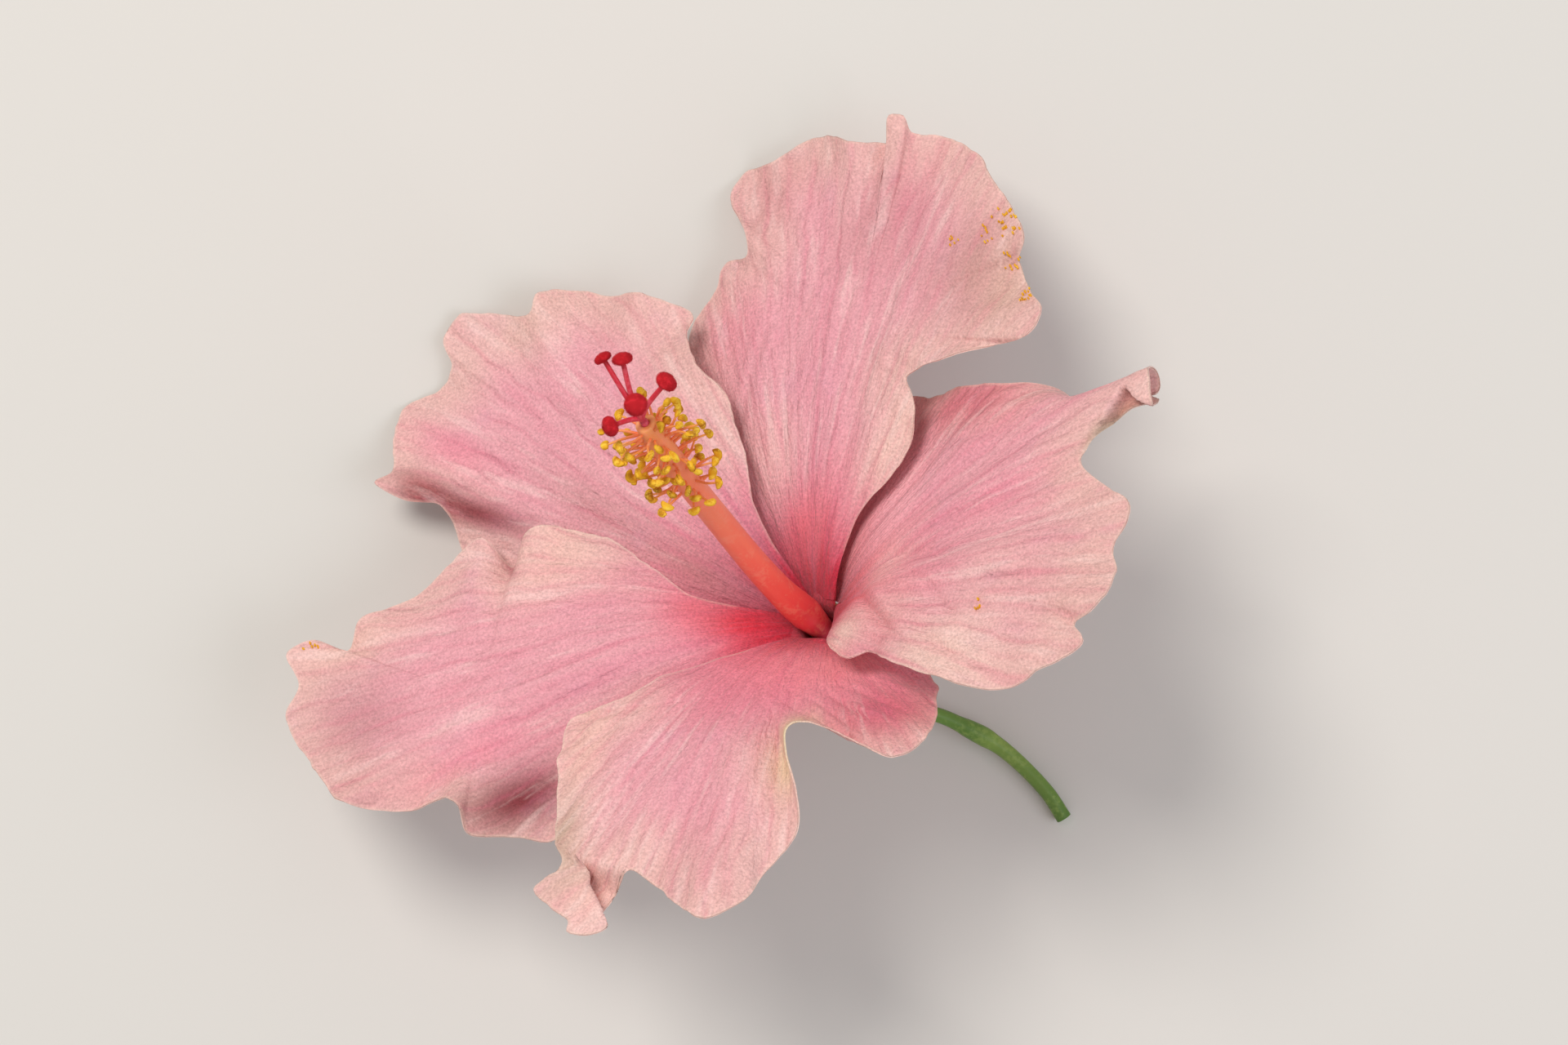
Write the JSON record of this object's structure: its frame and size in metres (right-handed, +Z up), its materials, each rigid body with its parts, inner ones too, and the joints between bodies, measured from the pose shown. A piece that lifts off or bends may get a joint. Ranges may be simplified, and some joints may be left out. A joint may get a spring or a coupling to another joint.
{
  "type": "hibiscus flower",
  "caption": "Open pink hibiscus bloom with frilled petals, a long staminal column with anthers and red stigmas, a green calyx and a short picked stalk, lying on a surface.",
  "frame": {"origin": "on the surface that the flower lies on, under the middle of its bounding box", "axes": "+Z up from the surface; the bloom faces up and leans towards -X +Y; the stalk runs towards +X -Y"},
  "size_m": [0.1238, 0.1146, 0.082],
  "materials": {
    "petal": "soft, thin, slightly translucent petal with deeper veins and a red throat",
    "staminal_column": "smooth moist plant tissue, coral red to salmon, with yellow pollen on the anthers",
    "style": "dull, finely hairy deep red",
    "green_plant": "satin green plant skin",
    "stalk": "satin green plant skin"
  },
  "bodies": {
    "root": {"petal_top": "petal", "petal_upper_left": "petal", "petal_lower_left": "petal", "petal_bottom": "petal", "petal_right": "petal", "staminal_column": "staminal_column", "style": "style", "ovary": "green_plant", "calyx": "green_plant", "epicalyx": "green_plant", "stalk": "stalk"}
  },
  "joints": []
}
